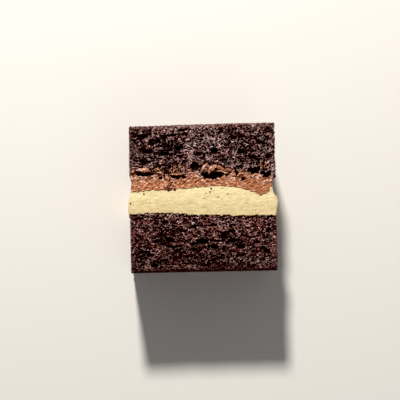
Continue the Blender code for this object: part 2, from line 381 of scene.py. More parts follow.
def grid_squares(numbers):
    """The squares between the points of a grid, given their numbers."""
    return np.stack([numbers[:-1, :-1], numbers[1:, :-1], numbers[1:, 1:], numbers[:-1, 1:]], -1)


def skin_grids(sizes):
    """Corners and squares of a block's skin: six grids of whole-number places, joined where two
    grids share a place, with each square facing outwards. Each place has a number."""
    squares = []
    for axis, end in itertools.product(range(3), (0, 1)):
        place = [None] * 3
        first, second = (other for other in range(3) if other != axis)
        place[first], place[second] = np.meshgrid(
            np.arange(sizes[first]), np.arange(sizes[second]), indexing="ij"
        )
        place[axis] = np.full_like(place[first], end * (sizes[axis] - 1))
        square = grid_squares(np.ravel_multi_index(place, sizes)).reshape(-1, 4)
        squares.append(square[:, ::-1] if (end == 0) != (axis == 1) else square)
    numbers, squares = np.unique(np.concatenate(squares), return_inverse=True)
    return numbers, squares.reshape(-1, 4)


def cake_layer(low, high, deep, ends, swell, relief):
    """Points, squares and relief values of one layer of the slice.

    low and high are its two seams as functions of x and z, deep is about how far apart they are,
    which sets its number of rows, and ends says which of the two is an outer face. A skin point at
    x, z and share v of the way between the seams goes to y = low + v (high - low). The outer edges
    are rounded, each side swells by its own smooth line of (share, millimetres), and the point then
    sinks by the relief, along a direction that turns smoothly from one outer face to the next. The
    relief evens out to its median just above the underside. Hidden faces are scaled to fit their
    rims.
    """
    columns = evenly(-HALF_WIDTH, HALF_WIDTH, FINE_STEP)
    rows = evenly(0, 1, FINE_STEP / deep)
    levels = np.concatenate([
        evenly(0, THICKNESS - FINE_DEPTH, DEEP_STEP)[:-1],
        evenly(THICKNESS - FINE_DEPTH, THICKNESS, FINE_STEP),
    ])
    sizes = (len(columns), len(rows), len(levels))
    numbers, squares = skin_grids(sizes)
    i, j, k = np.unravel_index(numbers, sizes)

    def at(i, j, k):
        """The number of the skin point in column i, row j and level k."""
        return np.searchsorted(numbers, (i * sizes[1] + j) * sizes[2] + k)

    x, share, z = columns[i], rows[j], levels[k]
    y = low(x, z) + share * (high(x, z) - low(x, z))
    shown = (k == sizes[2] - 1) | (i == 0) | (i == sizes[0] - 1)
    shown |= (j == 0) & ends[0]
    shown |= (j == sizes[1] - 1) & ends[1]

    def past(margin):
        """How far each point is past a block that is smaller by the margin, as a vector."""
        over_x = np.sign(x) * np.maximum(0, abs(x) - HALF_WIDTH + margin)
        over_y = np.zeros_like(y)
        if ends[0]:
            over_y = -np.maximum(0, low(x, z) + margin - y)
        if ends[1]:
            over_y = over_y + np.maximum(0, y - high(x, z) + margin)
        return np.stack([over_x, over_y, np.maximum(0, z - THICKNESS + margin)], 1)

    points = np.stack([x, y, z], 1)
    tip = past(CORNER)
    reach = np.linalg.norm(tip, axis=1, keepdims=True)
    points = points - tip + tip * np.minimum(1, CORNER / np.maximum(reach, TINY))
    near_side = np.clip(1 - (HALF_WIDTH - abs(x)) / SWELL_REACH, 0, 1) ** 2
    for side, line in zip((-1, 1), swell):
        bulge = height_along(line, share * MM) if line else 0
        points[:, 0] += side * bulge * near_side * (side * x > 0)

    outwards = past(BLEND)
    outwards /= np.maximum(np.linalg.norm(outwards, axis=1, keepdims=True), TINY)
    depth, values = relief(points[shown], share[shown], outwards[shown])
    plain = np.median(depth)
    depth = plain + (depth - plain) * eased(z[shown], 0, EVEN_RIM)
    points[shown] -= outwards[shown] * depth[:, None]
    points[:, 2] = np.maximum(points[:, 2], 0)

    last = [size - 1 for size in sizes]
    hidden = ~shown
    side = at(np.where(i > last[0] / 2, last[0], 0), j, k)
    cut = at(i, j, last[2])
    inner = hidden & ((j == 0) | (j == last[1]))
    points[inner, 2] = z[inner] * points[cut[inner], 2] / THICKNESS
    points[hidden, 0] = x[hidden] * abs(points[side[hidden], 0]) / HALF_WIDTH
    under = hidden & (k == 0)
    foot_rim = points[at(i, 0, 0), 1] - low(x, z)
    head_rim = points[at(i, last[1], 0), 1] - high(x, z)
    points[under, 1] += ((1 - share) * foot_rim + share * head_rim)[under]

    whole = {name: np.zeros(len(points)) for name in values}
    for name, value in values.items():
        whole[name][shown] = value
    return points, squares, whole


def placed(name, data):
    """A new object in the scene."""
    thing = bpy.data.objects.new(name, data)
    bpy.context.scene.collection.objects.link(thing)
    return thing


def piece_from(name, points, faces, values, node, finish, most=0):
    """A piece that rides the frame, shaded smooth but for its flat underside, and held within the
    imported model's bounds. Where most is set, it is thinned to about that many triangles, and the
    flattest parts lose theirs first."""
    mesh = bpy.data.meshes.new(name)
    mesh.from_pydata(points, [], faces)
    for key, value in values.items():
        layer = mesh.attributes.new(key, "FLOAT", "POINT")
        layer.data.foreach_set("value", value.astype(np.float32))
    mesh.shade_smooth()
    piece = placed(name, mesh)
    triangles = 2 * len(faces)
    if most and triangles > most:
        thin = piece.modifiers.new("thin", "DECIMATE")
        thin.ratio = most / triangles
        graph = bpy.context.evaluated_depsgraph_get()
        thinned = bpy.data.meshes.new_from_object(
            piece.evaluated_get(graph), preserve_all_data_layers=True, depsgraph=graph
        )
        piece.modifiers.clear()
        piece.data = thinned
        bpy.data.meshes.remove(mesh)
    mesh = piece.data
    places = np.empty(3 * len(mesh.vertices))
    mesh.vertices.foreach_get("co", places)
    mesh.vertices.foreach_set("co", np.clip(places.reshape(-1, 3), *cad_box).ravel())
    normals = np.empty(3 * len(mesh.polygons))
    centres = np.empty(3 * len(mesh.polygons))
    mesh.polygons.foreach_get("normal", normals)
    mesh.polygons.foreach_get("center", centres)
    underside = (abs(normals[2::3]) > LEVEL) & (centres[2::3] < UNDERSIDE)
    mesh.polygons.foreach_set("use_smooth", ~underside)
    mesh.materials.clear()
    mesh.materials.append(finish)
    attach(piece, "root")
    return piece


# Relief of the four layers


def named_holes(points, holes, depth, seed, dent):
    """Depth of the named holes: depth (1 - distance^2)^0.7 each, at its place on the cut, with the
    distance in its half widths and the rim dented by bumps."""
    bent = points[:, :2] / MM + dent * wobble(points, 2.0 * MM, seed, 3, 0.7, 2)
    deep = np.zeros(len(points))
    for x, y, half_width, half_height in holes:
        gap = ((bent[:, 0] - x) / half_width) ** 2 + ((bent[:, 1] - y) / half_height) ** 2
        deep = np.maximum(deep, depth * np.maximum(0, 1 - gap) ** 0.7)
    return deep


def scrap_beds(points):
    """Depth of the dark trough that each scrap of cocoa cream lies in: just below the scrap, eased
    up to the cut at its rim."""
    deep = np.zeros(len(points))
    for tone, places in COCOA_SCRAPS:
        line = curve_through(np.array(places), np.linspace(0, 1, 24))
        for x, y, depth, radius in line:
            gap = np.hypot(points[:, 0] / MM - x, points[:, 1] / MM - y)
            deep = np.maximum(deep, (depth + 0.3 * radius) * eased(radius + 0.75 - gap, 0, 0.6))
    return deep * MM


def crumb_relief(holes, tears, seed):
    """Relief of torn sponge: thin walls round pores of two sizes, each pore as deep as its own draw
    says, with large pores, long gaps and the named holes on top. The walls are nicked by a grain,
    and the cut turns down over its foot. The cake's own top and underside have a finer skin. The
    values say how deep a point is in millimetres, as pit, and how far it belongs to that skin and
    to the cut."""

    def relief(points, share, outwards):
        bent = points + 0.6 * MM * wobble(points, 1.3 * MM, seed, 3, 0.6)
        wall, draw = foam(bent, np.array([1.5, 1.1, 1.5]) * MM, seed + 3)
        fine_wall, fine_draw = foam(bent, np.array([0.85, 0.62, 0.85]) * MM, seed + 2)
        large = balls(bent, np.array([5.2, 3.0, 5.2]) * MM, (0.2, 0.42), 0.5, seed + 5)
        nick = np.maximum(0, rough(points, 1.1 * MM, seed + 4, 2))
        pores = (0.5 + 1.25 * draw) * eased(wall, 0.0, 0.27)
        pores += (0.2 + 0.6 * fine_draw) * eased(fine_wall, 0.0, 0.36) + 0.7 * nick
        gaps = eased(rough(bent, np.array([4.6, 1.2, 4.6]) * MM, seed + 14, 2), 0.3, 0.65)
        uneven = 1 + 0.4 * bumps(points, 6.5 * MM, seed + 12)
        on_cut = np.clip(outwards[:, 2], 0, 1) ** 2
        skin = outwards[:, 1] ** 2
        pores = (pores * uneven + 2.4 * large + 1.2 * gaps) * (1 - 0.6 * skin) * MM
        named = on_cut * named_holes(points, holes, PORE_DEPTH, seed + 6, PORE_DENT)
        torn = on_cut * named_holes(points, tears, TEAR_DEPTH, SEEDS["tears"], TEAR_DENT)
        swell = 0.15 * MM * (1 + bumps(points, 4.6 * MM, seed + 10))
        foot = on_cut * 1.9 * MM * np.clip(1 - (points[:, 1] - CAKE_FOOT) / (2.4 * MM), 0, 1) ** 2
        bed = on_cut * scrap_beds(points) if tears else 0
        raised = (0.5 - 0.15 * skin) * MM * (1 - on_cut)
        depth = swell + pores + named + torn + foot + bed - raised
        values = {"pit": (pores + named + torn + 0.5 * foot) / MM, "skin": skin, "cut": on_cut}
        return depth, values

    return relief


def pale_relief(points, share, outwards):
    """Relief of the pale cream: a slow wave, long drag marks of the knife, soft swells, a few
    bubbles and, on the cut, the named pits."""
    seed = SEEDS["pale cream"]
    wave = 0.15 * MM * (1 + bumps(points, 6 * MM, seed))
    drag = 0.05 * MM * (1 + rough(points, np.array([5, 1.1, 5]) * MM, seed + 2))
    swells = 0.17 * MM * (1 + rough(points, np.array([2.2, 1.7, 2.0]) * MM, seed + 6, 3, 0.6))
    bubbles = 2.2 * MM * balls(points, 2.2 * MM * np.ones(3), (0.05, 0.18), 0.5, seed + 10)
    pits = named_holes(points, CREAM_PITS, CREAM_PIT_DEPTH, seed + 20, PORE_DENT)
    bubbles += (outwards[:, 2] > 0.7) * pits
    depth = 0.03 * MM + wave + drag + swells + bubbles
    return depth, {"pit": bubbles / MM, "share": share}


def cocoa_relief(points, share, outwards):
    """Relief of the cocoa cream: smears that run up to the right, small hollows between ridges,
    and a grain, all of them deeper towards the sponge, and on the cut the tears that it shares with
    the sponge."""
    seed = SEEDS["cocoa cream"]
    turn = np.stack([
        points[:, 0] * 0.8 + points[:, 1] * 0.6,
        points[:, 1] * 0.8 - points[:, 0] * 0.6,
        points[:, 2],
    ], 1)
    bend = wobble(points, 1.6 * MM, seed + 10, 3, 0.6)
    uneven = share + 0.35 * bend[:, 0]
    upper = eased(uneven, 0.1, 0.8)
    smear = abs(rough(turn, np.array([3.0, 1.1, 2.0]) * MM, seed, 3, 0.6)) * 2
    wall, draw = foam(turn + 0.6 * MM * bend, np.array([1.9, 1.0, 1.5]) * MM, seed + 4)
    hollow = (0.15 + 0.85 * draw**1.5) * eased(wall, 0.05, 0.5)
    grain = np.maximum(0, rough(turn, np.array([1.5, 0.7, 0.9]) * MM, seed + 6, 2))
    drop = (0.2 + 0.45 * upper) * smear + (0.2 + 0.7 * upper) * hollow
    drop += (0.4 + 0.7 * upper) * grain
    on_cut = np.clip(outwards[:, 2], 0, 1) ** 2
    torn = on_cut * named_holes(points, TEARS, TEAR_DEPTH, SEEDS["tears"], TEAR_DENT) / MM
    return (0.05 + drop + torn) * MM, {"pit": drop + torn, "share": share}


# Finishes


class Wire:
    """A value that a finish's nodes work out, so that sums on it can be written as Python."""

    def __init__(self, finish, socket):
        self.finish = finish
        self.socket = socket

    def math(self, operation, *values):
        return self.finish.node("ShaderNodeMath", {"operation": operation}, values)

    def __add__(self, other):
        return self.math("ADD", self, other)

    def __radd__(self, other):
        return self.math("ADD", other, self)

    def __sub__(self, other):
        return self.math("SUBTRACT", self, other)

    def __rsub__(self, other):
        return self.math("SUBTRACT", other, self)

    def __mul__(self, other):
        return self.math("MULTIPLY", self, other)

    def __rmul__(self, other):
        return self.math("MULTIPLY", other, self)

    def between(self, low, high):
        """0 below low, 1 above high, and eased between them."""
        settings = {"interpolation_type": "SMOOTHSTEP"}
        return self.finish.node("ShaderNodeMapRange", settings, {0: self, 1: low, 2: high})


class Finish:
    """A material with one Principled shader, whose nodes are added one call at a time."""

    def __init__(self, name, **constants):
        self.material = bpy.data.materials.new(name)
        self.material.use_nodes = True
        self.tree = self.material.node_tree
        self.shader = self.tree.nodes["Principled BSDF"]
        self.place = self.node("ShaderNodeTexCoord", output="Object")
        self.set(**constants)

    def node(self, kind, settings=None, inputs=(), output=0):
        """A new node with these settings and inputs, and the wire from that output."""
        node = self.tree.nodes.new(kind)
        for key, value in (settings or {}).items():
            if key == "stops":
                self.fill_ramp(node.color_ramp, value)
            else:
                setattr(node, key, value)
        pairs = inputs.items() if isinstance(inputs, dict) else enumerate(inputs)
        for key, value in pairs:
            self.feed(node.inputs[key], value)
        return Wire(self, node.outputs[output])

    def fill_ramp(self, ramp, stops):
        while len(ramp.elements) < len(stops):
            ramp.elements.new(0.5)
        for element, (position, colour) in zip(ramp.elements, stops):
            element.position = position
            element.color = (*colour, 1)

    def feed(self, socket, value):
        """Link a wire to the socket, or set a constant on it."""
        if isinstance(value, Wire):
            self.tree.links.new(value.socket, socket)
        elif socket.type == "RGBA" and len(value) == 3:
            socket.default_value = (*value, 1)
        else:
            socket.default_value = value

    def set(self, **values):
        """Feed the shader's inputs, named with _ for a space."""
        for key, value in values.items():
            self.feed(self.shader.inputs[key.replace("_", " ")], value)

    def value(self, name):
        """One of the values that the piece's own points carry."""
        return self.node("ShaderNodeAttribute", {"attribute_name": name}, output="Fac")

    def stretched(self, scale, turn=0.0):
        """The object's own coordinates, scaled along each axis and turned about Z."""
        inputs = {"Vector": self.place, "Rotation": (0, 0, turn), "Scale": scale}
        return self.node("ShaderNodeMapping", inputs=inputs)

    def noise(self, size, detail=2.0, roughness=0.5, place=None):
        """Cloudy noise about 0.5, with lumps of about that size and finer detail on them."""
        inputs = {"Vector": place or self.place, "Scale": 1 / size, "Detail": detail}
        return self.node("ShaderNodeTexNoise", inputs={**inputs, "Roughness": roughness})

    def cells(self, size):
        """Distance to the nearest of random points about that far apart."""
        inputs = {"Vector": self.place, "Scale": 1 / size}
        return self.node("ShaderNodeTexVoronoi", inputs=inputs, output="Distance")

    def ramp(self, value, *stops):
        """A colour between the stops, each as (value, colour)."""
        return self.node("ShaderNodeValToRGB", {"stops": stops}, [value])

    def mix(self, share, first, second):
        """The first colour where the share is 0, the second where it is 1."""
        inputs = {0: share, 6: first, 7: second}
        return self.node("ShaderNodeMix", {"data_type": "RGBA"}, inputs, 2)

    def bump(self, height, distance, strength=1.0):
        inputs = {"Height": height, "Distance": distance, "Strength": strength}
        return self.node("ShaderNodeBump", inputs=inputs)


# Colour of plain cocoa cream, which the smears over the sponge share.
COCOA_TAN = (0.378, 0.122, 0.038)


def sponge_finish(name, slopes, walls, greyness):
    """Moist dark sponge: painted shade near black in its pores, with red brown slopes, a few crimson,
    and pale walls, partly their own colour and partly painted highlight, with specks of painted
    highlight. slopes and walls are each a pair of colours, the plain one and the warm one, and
    greyness is how much some walls turn grey. Painted shade darkens it towards the foot, and it is
    plainer away from the cut and baked brown on the cake's own top and underside. The smear value
    paints cocoa cream over it."""
    finish = Finish(name)
    pit = finish.value("pit")
    smear = finish.value("smear")
    skin = finish.value("skin")
    cut = finish.value("cut")
    height = finish.node("ShaderNodeSeparateXYZ", inputs=[finish.place], output=1)
    warm = finish.noise(4.5 * MM, 3).between(0.38, 0.66) + 0.3 * height.between(30 * MM, 34 * MM)
    grain = finish.noise(0.7 * MM, 4, 0.68, finish.stretched((0.78, 1.3, 0.78)))
    grey = finish.noise(2.4 * MM, 2).between(0.48, 0.62) * greyness
    slope = finish.mix(warm, *slopes)
    crimson = finish.noise(1.9 * MM, 2).between(0.57, 0.66) * 0.8
    slope = finish.mix(crimson, slope, (0.22, 0.022, 0.032))
    wall = finish.mix(warm, *walls)
    wall = finish.mix(grey, wall, (0.53, 0.43, 0.39))
    # partly painted highlight: the pale wall colour on the crests, away from the pits, stands partly
    # for light on the ridges
    crest = grain.between(0.41, 0.55) * (1 - pit.between(0.2, 0.8)) * (0.45 + 0.55 * cut)
    colour = finish.mix(crest, slope, wall)
    # painted highlight: near white specks on the walls, painted as glints of light
    painted_glint = finish.noise(0.6 * MM, 1).between(0.59, 0.66) * (1 - pit.between(0.2, 0.6))
    colour = finish.mix(painted_glint * (0.15 + 0.85 * cut), colour, (0.95, 0.87, 0.85))
    # painted shade: darker towards the foot
    shade = 0.4 - 0.4 * height.between(-31 * MM, -17 * MM)
    colour = finish.mix(shade, colour, (0.024, 0.013, 0.012))
    baked = finish.mix(grain.between(0.35, 0.65), (0.048, 0.018, 0.012), (0.120, 0.052, 0.037))
    colour = finish.mix(skin.between(0.1, 0.8) * 0.9, colour, baked)
    # painted shade: near black in the pores, holes and tears and over the rounded foot, deeper points
    # darker
    dark = pit.between(0.3, 1.0) * (0.6 + 0.4 * cut)
    colour = finish.mix(dark, colour, (0.009, 0.0014, 0.001))
    cream = finish.mix(grain.between(0.35, 0.65), (0.22, 0.075, 0.038), COCOA_TAN)
    colour = finish.mix(smear, colour, cream)
    glint = finish.noise(1.1 * MM, 2, 0.7).between(0.48, 0.62) * (1 - pit.between(0.2, 0.6))
    normal = finish.bump(0.6 * grain + 0.4 * finish.cells(0.5 * MM), 0.4 * MM)
    wet = glint * (0.25 + 0.75 * cut)
    finish.set(Base_Color=colour, Roughness=0.6, Coat_Weight=wet, Normal=normal)
    finish.set(Specular_IOR_Level=0.3, Coat_Roughness=0.22, Coat_IOR=1.6)
    return finish.material


def pale_finish():
    """Pale vanilla cream: satin, palest near its crest and in slow patches, with drag marks and
    painted shade in its bubbles and pits.
    """
    finish = Finish("pale cream", Subsurface_Weight=0.2, Subsurface_Scale=0.001)
    finish.set(Subsurface_Radius=(1.0, 0.7, 0.35), Specular_IOR_Level=0.35)
    along = finish.stretched((0.2, 1.0, 0.4))
    drag = finish.noise(1.3 * MM, 4, 0.6, along)
    patches = finish.noise(2.8 * MM, 4, 0.6)
    fine = finish.noise(0.8 * MM, 3, 0.65)
    tone = finish.value("share") + 2.0 * (patches - 0.5)
    colour = finish.mix(tone.between(-0.1, 1.1), (0.665, 0.53, 0.28), (0.86, 0.74, 0.425))
    colour = finish.mix(drag.between(0.5, 0.75) * 0.3, colour, (0.62, 0.465, 0.21))
    colour = finish.mix(fine.between(0.5, 0.72) * 0.4, colour, (0.92, 0.81, 0.56))
    # painted shade: darker in the bubbles and pits
    colour = finish.mix(finish.value("pit").between(0.02, 0.1) * 0.5, colour, (0.5, 0.34, 0.14))
    normal = finish.bump(drag * 0.5 + fine * 0.5, 0.25 * MM, 0.9)
    finish.set(Base_Color=colour, Roughness=0.42 + 0.2 * fine, Normal=normal)
    return finish.material


def cocoa_finish():
    """Milk chocolate cream: tan in streaks that run up to the right, rosier and paler in its upper
    part and scraps, partly as painted highlight, with painted highlight in pale spots on its ridges,
    painted shade in its hollows and tears, and darker towards the right end."""
    finish = Finish("cocoa cream", Subsurface_Weight=0.1, Subsurface_Scale=0.0008)
    finish.set(Subsurface_Radius=(1.0, 0.5, 0.3), Specular_IOR_Level=0.35)
    slant = -0.64
    pit = finish.value("pit")
    smear = finish.noise(1.1 * MM, 4, 0.65, finish.stretched((0.4, 1.1, 0.7), slant))
    peaks = finish.noise(0.9 * MM, 3, 0.65, finish.stretched((0.6, 1.25, 0.8), slant))
    # partly painted highlight: the upper part of the layer and the scraps are rosier and paler,
    # partly as light on its lit top edge
    torn = finish.value("share").between(0.4, 0.95)
    tan = finish.mix(torn, COCOA_TAN, (0.51, 0.222, 0.118))
    dark = finish.mix(torn, (0.275, 0.074, 0.021), (0.30, 0.105, 0.052))
    colour = finish.mix(smear.between(0.36, 0.64), dark, tan)
    # painted highlight: rosy pale spots on the ridges, away from the hollows
    pale = finish.mix(torn, (0.90, 0.51, 0.34), (0.98, 0.73, 0.61))
    colour = finish.mix(peaks.between(0.50, 0.64) * (1 - pit.between(0.3, 1.0)), colour, pale)
    across = finish.node("ShaderNodeSeparateXYZ", inputs=[finish.place], output=0)
    shade = across.between(12 * MM, 26 * MM) * (1 - torn) * 0.5
    colour = finish.mix(shade, colour, (0.29, 0.082, 0.024))
    # painted shade: darker in the hollows and near black in the deep tears
    colour = finish.mix(pit.between(0.4, 1.2) * 0.6, colour, (0.17, 0.050, 0.022))
    colour = finish.mix(pit.between(1.2, 2.2), colour, (0.02, 0.006, 0.004))
    normal = finish.bump(smear * 0.5 + peaks * 0.5, 0.6 * MM, 0.9)
    finish.set(Base_Color=colour, Roughness=0.36 + 0.25 * peaks, Normal=normal)
    return finish.material


def crumb_finish():
    """Crumbs soaked by the cream that they stick to: red brown and darker in patches, with pale
    patches of painted highlight.
    """
    finish = Finish("stuck crumb", Roughness=0.6, Specular_IOR_Level=0.2)
    grain = finish.noise(0.7 * MM, 3, 0.7)
    dark = (0.4, (0.016, 0.004, 0.003))
    middle = (0.56, (0.14, 0.020, 0.014))
    # painted highlight: the pale stop stands for glints on the crumbs
    pale = (0.68, (0.42, 0.20, 0.17))
    colour = finish.ramp(grain, dark, middle, pale)
    finish.set(Base_Color=colour, Normal=finish.bump(grain, 0.2 * MM))
    return finish.material


def with_smear(relief, seed):
    """The relief with a smear value: cream on the crests, close to the seam and in the patches,
    broken up by bumps."""
    line = seam(COCOA_LINE, SEEDS["cocoa seam"], 0, MM, 0)

    def smeared(points, share, outwards):
        depth, values = relief(points, share, outwards)
        above = (points[:, 1] - line(points[:, 0], points[:, 2])) / MM
        patch = 1.1 * rough(points, 3.0 * MM, seed) + rough(points, 1.1 * MM, seed + 5, 2)
        near = 1 - np.clip(above / 2.6, 0, 1)
        for x, y, half_width, half_height in SMEARS:
            across = (points[:, 0] / MM - x) / half_width
            gap = np.hypot(across, (points[:, 1] / MM - y) / half_height)
            near = np.maximum(near, (1.15 - gap) * (outwards[:, 2] > 0.7))
        crest = 1 - np.clip((values["pit"] - 0.3) / 0.8, 0, 1)
        values["smear"] = np.clip((near + patch - 0.42) * 2.2, 0, 1) * crest * (near > 0)
        return depth, values

    return smeared


def no_smear(relief):
    """The relief with a smear value that is 0 all over."""

    def plain(points, share, outwards):
        depth, values = relief(points, share, outwards)
        values["smear"] = np.zeros(len(points))
        return depth, values

    return plain


def egg_grid(sizes):
    """Points of a unit ball, as the skin of a block drawn in to it, and its squares."""
    numbers, squares = skin_grids(sizes)
    block = np.stack(np.unravel_index(numbers, sizes), 1) / (np.array(sizes) - 1) * 2 - 1
    return block / np.linalg.norm(block, axis=1, keepdims=True), squares


def strand(places, seed, flat=0.75, crag=0.8):
    """A bent, craggy finger: an egg carried along the curve through the places, each as (x, y,
    depth, radius) in millimetres. The egg's own length gives the share of the curve, and its girth
    is widened towards both ends and scaled by the radius there. The curve wanders, and bumps on
    bumps push the skin in and out. flat is its thickness for its width, and crag the bumps'
    height."""
    places = np.array(places, float)
    length = np.linalg.norm(np.diff(places[:, :2], axis=0), axis=1).sum()
    steps = max(STRAND_LEAST, int(length / STRAND_STEP))
    egg, squares = egg_grid((steps, STRAND_ACROSS, STRAND_ACROSS))
    share = np.clip(0.5 + 0.5 * egg[:, 0], 0, 1)
    line = curve_through(places, share)
    next_along = curve_through(places, share * 0.98 + 0.02)
    last_along = curve_through(places, share * 0.98)
    centre = line[:, :3] * [1, 1, -1] * MM + [0, 0, THICKNESS]
    ahead = (next_along - last_along)[:, :3] * [1, 1, -1]
    ahead /= np.linalg.norm(ahead, axis=1, keepdims=True)
    sideways = np.cross([0, 0, 1], ahead)
    sideways /= np.linalg.norm(sideways, axis=1, keepdims=True)
    upwards = np.cross(ahead, sideways)
    blunt = np.maximum(1 - egg[:, 0] ** 2, 1e-6) ** -0.15
    girth = blunt * line[:, 3] * MM
    away = (egg[:, 1] * girth)[:, None] * sideways + (egg[:, 2] * girth * flat)[:, None] * upwards
    wander = wobble(centre, 1.5 * MM, seed + 20, 2)
    push = 1 + crag * rough(centre + away, 1.5 * MM, seed, 2)
    push += 0.6 * crag * rough(centre + away, 0.6 * MM, seed + 9, 2)
    middle = centre + wander * [0.35 * MM, 0.35 * MM, 0.15 * MM]
    return middle + away * np.maximum(push, 0.3)[:, None], squares


def joined(parts):
    """One list of points and one of squares from several."""
    points, squares = zip(*parts)
    starts = np.cumsum([0] + [len(part) for part in points[:-1]])
    shifted = [part + start for part, start in zip(squares, starts)]
    return np.concatenate(points), np.concatenate(shifted)


def lumps(places, radii, seed):
    """Small craggy lumps at the places, which give each lump's centre: one coarse egg each, of its
    own length and width, and turned its own way."""
    egg, squares = egg_grid(LUMP_GRID)
    draws = np.random.default_rng(seed)
    count = len(places)
    stretch = draws.uniform([0.8, 0.5, 0.5], [1.6, 1.0, 0.9], (count, 3)) * radii[:, None]
    turn = draws.uniform(0, math.pi, count)[:, None]
    shaped = egg[None] * stretch[:, None]
    across = shaped[..., 0] * np.cos(turn) - shaped[..., 1] * np.sin(turn)
    along = shaped[..., 0] * np.sin(turn) + shaped[..., 1] * np.cos(turn)
    away = np.stack([across, along, shaped[..., 2]], -1).reshape(-1, 3)
    centre = np.repeat(places, len(egg), 0)
    push = 1 + 0.9 * rough(centre + away, 0.7 * MM, seed, 2)
    squares = squares[None] + (np.arange(count) * len(egg))[:, None, None]
    return centre + away * np.maximum(push, 0.3)[:, None], squares.reshape(-1, 4)


def drawn_radii(draws, least, most, count):
    """Radii from the least to the most, in millimetres, with more small ones than large ones."""
    return draws.uniform(least**0.5, most**0.5, count) ** 2 * MM


def resting(x, y, radii, relief):
    """Centres and radii of lumps that lie on the cut, partly sunk in its relief. Those that would
    lie deeper than the deepest are left out."""
    flat = np.stack([x, y, np.full_like(x, THICKNESS)], 1)
    upwards = np.tile([0.0, 0.0, 1.0], (len(x), 1))
    depth, values = relief(flat, np.full_like(x, 0.5), upwards)
    flat[:, 2] -= np.maximum(depth - 0.3 * radii, 0.6 * radii)
    return flat[depth < DEEPEST], radii[depth < DEEPEST]


def strewn(amount, seed, relief):
    """Lumps along the torn seam, thickest just above its line."""
    count, least, most = amount
    draws = np.random.default_rng(seed)
    x = draws.uniform(-33.5, 33.5, count) * MM
    y = height_along(COCOA_LINE, x) + draws.gamma(1.8, 0.9, count) * MM
    return resting(x, y, drawn_radii(draws, least, most, count), relief)


def smeared_lumps(seed, relief):
    """The cream lumps in the smeared patches, as many as their areas call for."""
    least, most, crowding = SMEAR_LUMPS
    draws = np.random.default_rng(seed)
    patches = np.array(SMEARS)
    counts = (crowding * math.pi * patches[:, 2] * patches[:, 3]).astype(int)
    x, y, half_width, half_height = np.repeat(patches, counts, 0).T
    turn = draws.uniform(0, 2 * math.pi, len(x))
    out = draws.uniform(0, 1, len(x)) ** 0.6
    radii = drawn_radii(draws, least, most, len(x))
    x = (x + half_width * out * np.cos(turn)) * MM
    y = (y + half_height * out * np.sin(turn)) * MM
    return resting(x, y, radii, relief)


def lump_tones(points, radii):
    """How dark each lump is, for every one of its points. The lumps' number is the draws' seed."""
    tones = np.random.default_rng(len(radii)).uniform(-0.3, 0.6, len(radii))
    return np.repeat(tones, len(points) // len(radii))


def build_cocoa_scraps(finish, torn_relief):
    """The scraps of cocoa cream along the torn seam, and the lumps of it between them."""
    made = [strand(line, SEEDS["cocoa scraps"] + i) for i, (tone, line) in enumerate(COCOA_SCRAPS)]
    # partly painted shade: each scrap's darkness, with bumps on it, darkens its colour through the
    # pit value
    tones = [
        tone + 0.9 * rough(points, 1.3 * MM, SEEDS["scrap tones"])
        for (points, faces), (tone, line) in zip(made, COCOA_SCRAPS)
    ]
    heaps = (
        strewn(CREAM_LUMPS, SEEDS["strewn cream"], torn_relief),
        smeared_lumps(SEEDS["smeared cream"], torn_relief),
    )
    for places, radii in heaps:
        made.append(lumps(places, radii, SEEDS["cream lumps"]))
        tones.append(lump_tones(made[-1][0], radii))
    points, faces = joined(made)
    values = {"pit": np.concatenate(tones), "share": np.ones(len(points))}
    piece_from("scraps_cocoa", points, faces, values, "cocoa_cream", finish)


def build_pale_scraps(finish):
    """The slivers of pale cream that stand up at the right end."""
    seed = SEEDS["pale scraps"]
    points, faces = joined([strand(line, seed + i, crag=0.25) for i, line in enumerate(PALE_SCRAPS)])
    zero = np.zeros(len(points))
    values = {"pit": zero, "share": zero + 0.8}
    piece_from("scraps_pale", points, faces, values, "pale_cream", finish)


def build_loose_crumbs(finish, torn_relief):
    """Lumps of the upper sponge along the torn seam."""
    places, radii = strewn(SPONGE_LUMPS, SEEDS["strewn sponge"], torn_relief)
    points, faces = lumps(places, radii, SEEDS["sponge lumps"])
    zero = np.zeros(len(points))
    values = {"pit": zero + 0.2, "smear": zero, "skin": zero, "cut": zero + 1}
    piece_from("loose_crumbs", points, faces, values, "top_sponge", finish)


def build_stuck_crumbs(finish):
    """Crumbs stuck to the creams, each a short finger half sunk in the cut."""
    seed = SEEDS["stuck crumbs"]
    x, y, radii = np.array(STUCK_CRUMBS).T * MM
    parts = []
    for i, (place, radius) in enumerate(zip(*resting(x, y, radii, pale_relief))):
        reach = 0.8 * radius * np.array([1, 0.4 * spread(seed + i), 0])
        middle = (place - [0, 0, THICKNESS]) * [1, 1, -1]
        ends = [[*(middle + along * reach) / MM, radius / MM] for along in (-1, 0, 1)]
        parts.append(strand(ends, seed + i, 0.8, 0.6))
    points, faces = joined(parts)
    piece_from("stuck_crumbs", points, faces, {}, "bottom_sponge", finish)


